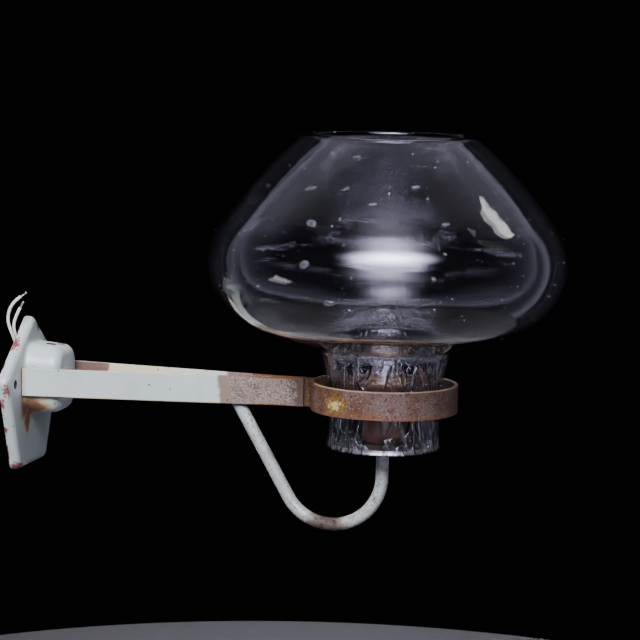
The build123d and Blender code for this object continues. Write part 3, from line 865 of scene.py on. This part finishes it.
def smooth_loop(outline, spacing):
    """Points at even spacing on a smooth closed line through an outline's points."""
    count = len(outline)
    dense = []
    for i in range(count):
        before, start, end, after = (outline[(i + k) % count] for k in (-1, 0, 1, 2))
        span = (end - start).length
        leave = (end - before) / max((end - before).length, TINY) * span
        arrive = (after - start) / max((after - start).length, TINY) * span
        steps = max(1, round(span / (spacing / OUTLINE_STEPS)))
        for k in range(steps):
            dense.append(curve_point(start, end, leave, arrive, k / steps))
    lengths = [0.0]
    for here, onward in zip(dense, dense[1:] + dense[:1]):
        lengths.append(lengths[-1] + (onward - here).length)
    wanted = round(lengths[-1] / spacing)
    points = []
    i = 0
    for k in range(wanted):
        reach = lengths[-1] * k / wanted
        while lengths[i + 1] < reach:
            i += 1
        share = (reach - lengths[i]) / (lengths[i + 1] - lengths[i])
        points.append(dense[i].lerp(dense[(i + 1) % len(dense)], share))
    return points


def smooth_step(start, end, value):
    """Smooth change from 0 at start to 1 at end."""
    share = min(1.0, max(0.0, (value - start) / (end - start)))
    return share * share * (3 - 2 * share)


def wall_noise(height, angle, rate, shift):
    """Noise on the glass wall at a rate round the axis and one with height; the shift tells kinds apart."""
    around_rate, height_rate = rate
    x, y, z = shift
    around = Vector((math.cos(angle), math.sin(angle), 0.0))
    return noise.noise(around * around_rate + Vector((x, y, height * height_rate + z)))


def hand_blown(height, angle, wall_side):
    """Small wander of the glass wall, of its own on each side: waves in the bowl, flutes in the neck."""
    clear_lip = smooth_step(GLASS_LOW.z + LIP_CALM[0], GLASS_LOW.z + LIP_CALM[1], height)
    clear_mouth = smooth_step(GLASS_HIGH.z, GLASS_HIGH.z - MOUTH_CALM, height)
    neck = smooth_step(GLASS_LOW.z + NECK_TOP, GLASS_LOW.z + FLUTES_FULL, height)
    slow = wall_noise(height, angle, WAVE_RATE, shift=(wall_side * 7.0, 0.0, 0.0))
    ripple = wall_noise(height, angle, RIPPLE_RATE, shift=(3.0, wall_side * 5.0, 0.0))
    leaning = angle + FLUTE_TWIST * height * wall_side
    flute = wall_noise(height, leaning, FLUTE_RATE, shift=(0.0, 9.0, wall_side * 4.0))
    in_bowl = BOWL_WAVE * slow + BOWL_RIPPLE * ripple
    return clear_lip * clear_mouth * ((1 - neck) * in_bowl + neck * NECK_FLUTE * flute)


def wall_middle(profile):
    """Points midway in the glass wall with the wall's direction there, from the lip to the mouth."""
    top = max(range(len(profile)), key=lambda i: profile[i].y)
    sides = [profile[: top + 1], profile[:top:-1]]
    outer, inner = sorted(sides, key=lambda side: -sum(p.x for p in side) / len(side))
    middle = []
    for i in range(1, len(outer) - 1):
        opposite = min(inner, key=lambda p: (p - outer[i]).length)
        along = (outer[i + 1] - outer[i - 1]).normalized()
        middle.append(((outer[i] + opposite) / 2, along))
    return middle


def add_bubble(mesh, spot, angle, length, width, depth, tilt):
    """Closed hollow in the glass wall: a flat ellipsoid whose faces look into it."""
    point, along = spot
    out = Vector((math.cos(angle), math.sin(angle), 0.0))
    level = Vector((-math.sin(angle), math.cos(angle), 0.0))
    steep = out * along.x + Vector((0, 0, along.y))
    long_way = level * math.cos(tilt) + steep * math.sin(tilt)
    wide_way = steep * math.cos(tilt) - level * math.sin(tilt)
    deep_way = long_way.cross(wide_way)
    centre = Vector((AXIS_X, 0, point.y)) + out * point.x
    sides = BUBBLE_SIDES if length > FINE_BUBBLE else SEED_SIDES
    levels = sides // 2
    low_pole, high_pole = (mesh.verts.new(centre + deep_way * end * depth / 2) for end in (-1, 1))
    rings = []
    for i in range(1, levels):
        rise = -math.cos(math.pi * i / levels)
        reach = math.sin(math.pi * i / levels)
        ring = []
        for turn in angles(sides):
            flat = long_way * (math.cos(turn) * length / 2) + wide_way * (math.sin(turn) * width / 2)
            ring.append(mesh.verts.new(centre + flat * reach + deep_way * rise * depth / 2))
        rings.append(ring)
    faces = []
    for k in range(sides):
        n = (k + 1) % sides
        faces.append(mesh.faces.new((low_pole, rings[0][k], rings[0][n])))
        faces.append(mesh.faces.new((high_pole, rings[-1][n], rings[-1][k])))
    for low, high in zip(rings, rings[1:]):
        faces += bridge(mesh, high, low)
    for face in faces:
        face.material_index = 1


def add_bubbles(mesh, profile):
    """The large bubbles at their places and seeded small ones all over the bowl."""
    middle = wall_middle(profile)
    for height, degrees, length, width, tilt in BIG_BUBBLES:
        spot = min(middle, key=lambda s: abs(s[0].y - GLASS_LOW.z - height))
        add_bubble(mesh, spot, math.radians(degrees), length, width, BUBBLE_DEPTH, math.radians(tilt))
    chance = random.Random(RANDOM_SEED)
    bowl = [spot for spot in middle if spot[0].y > GLASS_LOW.z + SEED_LOWEST]
    weights = [spot[0].x for spot in bowl]
    for spot in chance.choices(bowl, weights, k=SEED_COUNT):
        length = SEED_LENGTH + SEED_GROWTH * chance.random() ** SEED_RARITY
        width = length * chance.uniform(*SEED_WIDTH)
        angle = chance.uniform(-math.pi, math.pi)
        tilt = chance.uniform(-SEED_TILT, SEED_TILT)
        add_bubble(mesh, spot, angle, length, width, min(width, BUBBLE_DEPTH), tilt)


def make_glass(material):
    """Blown shade: the turned form with a hand-made wander, and bubbles in its wall."""
    profile = smooth_loop(section_of("glass_shade"), GLASS_SPACING)
    mesh = bmesh.new()
    rings = []
    for i, point in enumerate(profile):
        along = (profile[(i + 1) % len(profile)] - profile[i - 1]).normalized()
        normal = Vector((along.y, -along.x))
        wall_side = 1.0 if normal.x > 0 else -1.0
        ring = []
        for angle in angles(GLASS_SEGMENTS):
            moved = point + normal * hand_blown(point.y, angle, wall_side)
            place = (AXIS_X + moved.x * math.cos(angle), moved.x * math.sin(angle), moved.y)
            ring.append(mesh.verts.new(place))
        rings.append(ring)
    for low, high in zip(rings, rings[1:] + rings[:1]):
        bridge(mesh, low, high)
    bmesh.ops.recalc_face_normals(mesh, faces=mesh.faces)
    add_bubbles(mesh, profile)
    piece = new_piece("blown_shade", mesh, material)
    piece.data.materials.append(bubble_skin())
    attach(piece, "shade")
    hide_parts("glass_shade")


def thread_rings():
    """Inside of the shell from the flange up, as rings of (radius, angle, rise)."""
    height = SHELL_HIGH.z - SHELL_LOW.z
    rings = []
    for i in range(SHELL_STEPS + 1):
        rise = FLANGE_SHEET + (height - FLANGE_SHEET) * i / SHELL_STEPS
        plain_foot = smooth_step(FLANGE_SHEET + FOOT_RUNOUT, FLANGE_SHEET, rise)
        plain_top = smooth_step(height - TOP_RUNOUT, height, rise)
        ring = []
        for angle in angles(SHELL_SEGMENTS):
            wave = 0.5 + 0.5 * math.cos(2 * math.pi * rise / THREAD_PITCH - angle)
            out = max(wave, plain_foot, plain_top)
            ring.append((THREAD_CREST_R + (THREAD_VALLEY_R - THREAD_CREST_R) * out, angle, rise))
        rings.append(ring)
    return rings


def make_shell(material):
    """Screw shell of the lamp holder with its rolled thread."""
    rings = thread_rings()
    flange_top = [(FLANGE_R, angle, FLANGE_SHEET) for angle in angles(SHELL_SEGMENTS)]
    flange_under = [(FLANGE_R, angle, 0.0) for angle in angles(SHELL_SEGMENTS)]
    outside = [[(r + THREAD_SHEET, angle, rise) for r, angle, rise in ring] for ring in rings]
    outer_under = [(r, angle, 0.0) for r, angle, _ in outside[0]]
    mesh = bmesh.new()
    loops = []
    for ring in [flange_top] + rings + outside[::-1] + [outer_under, flange_under]:
        loop = []
        for r, angle, rise in ring:
            place = (AXIS_X + r * math.cos(angle), r * math.sin(angle), SHELL_LOW.z + rise)
            loop.append(mesh.verts.new(place))
        loops.append(loop)
    for low, high in zip(loops, loops[1:] + loops[:1]):
        bridge(mesh, low, high)
    bmesh.ops.recalc_face_normals(mesh, faces=mesh.faces)
    piece = new_piece("threaded_shell", mesh, material)
    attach(piece, "bracket")
    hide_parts("screw_shell")


def view_axes():
    """The camera's directions: back to the camera, level right and upright."""
    a = math.radians(AZIMUTH)
    e = math.radians(ELEVATION)
    back = Vector((math.sin(a) * math.cos(e), -math.cos(a) * math.cos(e), math.sin(e)))
    level = Vector((math.cos(a), math.sin(a), 0.0))
    return back, level, back.cross(level)


def make_camera():
    """Camera of the photograph, a little rolled."""
    r = math.radians(ROLL)
    back, level, upright = view_axes()
    right = math.cos(r) * level + math.sin(r) * upright
    up = math.cos(r) * upright - math.sin(r) * level
    data = bpy.data.cameras.new("camera")
    data.sensor_width = SENSOR
    data.lens = FOCAL_PIXELS * SENSOR / FRAME_PIXELS
    camera = bpy.data.objects.new("camera", data)
    turn = Matrix((right, up, back)).transposed().to_4x4()
    camera.matrix_world = Matrix.Translation(TARGET + back * DISTANCE) @ turn
    bpy.context.scene.collection.objects.link(camera)
    bpy.context.scene.camera = camera


def make_floor():
    """Round floor under the lamp."""
    mesh = bmesh.new()
    bmesh.ops.create_circle(mesh, cap_ends=True, radius=FLOOR_R, segments=FLOOR_SEGMENTS)
    bmesh.ops.translate(mesh, verts=mesh.verts, vec=(*FLOOR_PLACE, FLOOR_Z))
    floor = new_piece("floor", mesh, floor_paint(), smooth=False)
    return floor


def add_softbox(name, place, size, power, mirrored=False):
    """Rectangular light aimed at the lamp; a mirrored one shows in reflections."""
    data = bpy.data.lights.new(name, "AREA")
    data.shape = "RECTANGLE"
    data.size, data.size_y = size
    data.energy = power
    light = bpy.data.objects.new(name, data)
    light.location = place
    light.rotation_mode = "QUATERNION"
    light.rotation_quaternion = (LIGHT_AIM - Vector(place)).to_track_quat("-Z", "Y")
    light.visible_camera = False
    light.visible_glossy = mirrored
    light.visible_transmission = mirrored
    bpy.context.scene.collection.objects.link(light)
    return light


def make_lights(floor):
    """Soft boxes for the surfaces. Key and back leave out the floor, and the glass mirrors the window."""
    key = add_softbox("key", place=(0.02, -1.6, 1.0), size=(1.0, 0.7), power=58)
    back = add_softbox("back", place=(-0.6, 1.6, 1.0), size=(1.0, 1.0), power=24)
    top = add_softbox("top", place=(0.25, -0.1, 1.7), size=(0.5, 0.5), power=0.6)
    top.data.spread = math.radians(TOP_SPREAD)
    add_softbox("side", place=(1.7, -0.3, 0.6), size=(0.8, 0.8), power=2.5)
    add_softbox("window", place=(1.48, 0.56, 1.32), size=(0.22, 0.40), power=1.4, mirrored=True)
    shaded = bpy.data.collections.new("shaded")
    shaded.objects.link(floor)
    for light in (key, back):
        light.light_linking.receiver_collection = shaded
    shaded.collection_objects[0].light_linking.link_state = "EXCLUDE"


def add_glow(room, strength, facing, glow):
    """The room's strength with one soft round glow added."""
    _, level, upright = view_axes()
    bright, half_width, half_height, rise = glow
    across = room.math("DIVIDE", room.dot(room.place, level), half_width)
    above_middle = room.math("SUBTRACT", room.dot(room.place, upright), rise)
    above = room.math("DIVIDE", above_middle, half_height)
    away = room.math("SQRT", room.math("ADD", room.both(across, across), room.both(above, above)))
    fade = room.step(away, (1.0, 0.0))
    in_front = room.step(facing, GLOW_RANGE)
    return room.more(strength, room.both(in_front, room.both(fade, fade)), bright)


def make_room():
    """Surroundings for reflections only: dark behind the lamp, a dim room in front with soft glows."""
    world = bpy.data.worlds.new("world")
    world.use_nodes = True
    room = Graph(world.node_tree, "Generated")
    back, _, upright = view_axes()
    facing = room.dot(room.place, back)
    sides = room.step(facing, SIDE_RANGE)
    overhead = room.step(room.dot(room.place, upright), CEILING_RISE)
    ceiling = room.both(overhead, room.step(facing, CEILING_RANGE))
    border = room.step(facing, BORDER_RANGE)
    strength = room.more(ROOM_LEVEL, sides, SIDE_LEVEL)
    strength = room.more(strength, ceiling, CEILING_LEVEL)
    strength = room.more(strength, border, BORDER_LEVEL)
    strength = room.both(room.step(facing, ROOM_RANGE), strength)
    for glow in GLOWS:
        strength = add_glow(room, strength, facing, glow)
    behind = room.more(DARK_LEVEL, room.step(facing, HAZE_RANGE), HAZE_LEVEL)
    background = world.node_tree.nodes["Background"]
    background.inputs["Color"].default_value = ROOM_TINT
    room.put(background.inputs["Strength"], room.math("ADD", strength, behind))
    bpy.context.scene.world = world
    world.cycles_visibility.diffuse = False


make_camera()
make_lights(make_floor())
make_room()

BRASS = brass()
PVC = white_pvc()
TINNED = tinned_copper()
GLASS = bubble_glass()

FINISHES = [
    (plate_lacquer(), ["wall_plate"]),
    (arm_lacquer(-1), ["left_arm"]),
    (arm_lacquer(1), ["right_arm"]),
    (worn_band(), ["ring_band"]),
    (tube_lacquer(), ["stem_tube"]),
    (plated_steel(), ["stem_collar", "stem_washer", "stem_nut", "plate_nut", "shade_plate", "grub_screw"]),
    (GLASS, ["glass_shade"]),
    (bakelite(), ["holder_cap", "holder_body"]),
    (porcelain(), ["holder_insert"]),
    (BRASS, ["screw_shell", "centre_contact", "contact_foot", "contact_rivet"]),
    (BRASS, ["terminal_blocks", "terminal_screws"]),
    (PVC, ["cable_bush", "inner_lead_a", "inner_lead_b", "lead_a_tail", "lead_b_tail"]),
    (TINNED, ["lead_a_core", "lead_b_core"]),
]
for node_finish, node_names in FINISHES:
    for node_name in node_names:
        give(node_name, node_finish)

STRANDS_A = make_strands("lead_a_strands", LEAD_A_ROUTE, "lead_a_core", TINNED)
STRANDS_B = make_strands("lead_b_strands", LEAD_B_ROUTE, "lead_b_core", TINNED)
make_lead("lead_a", LEAD_A_ROUTE, "lead_a_tail", PVC)
make_lead("lead_b", LEAD_B_ROUTE, "lead_b_tail", PVC)

make_glass(GLASS)
make_shell(BRASS)
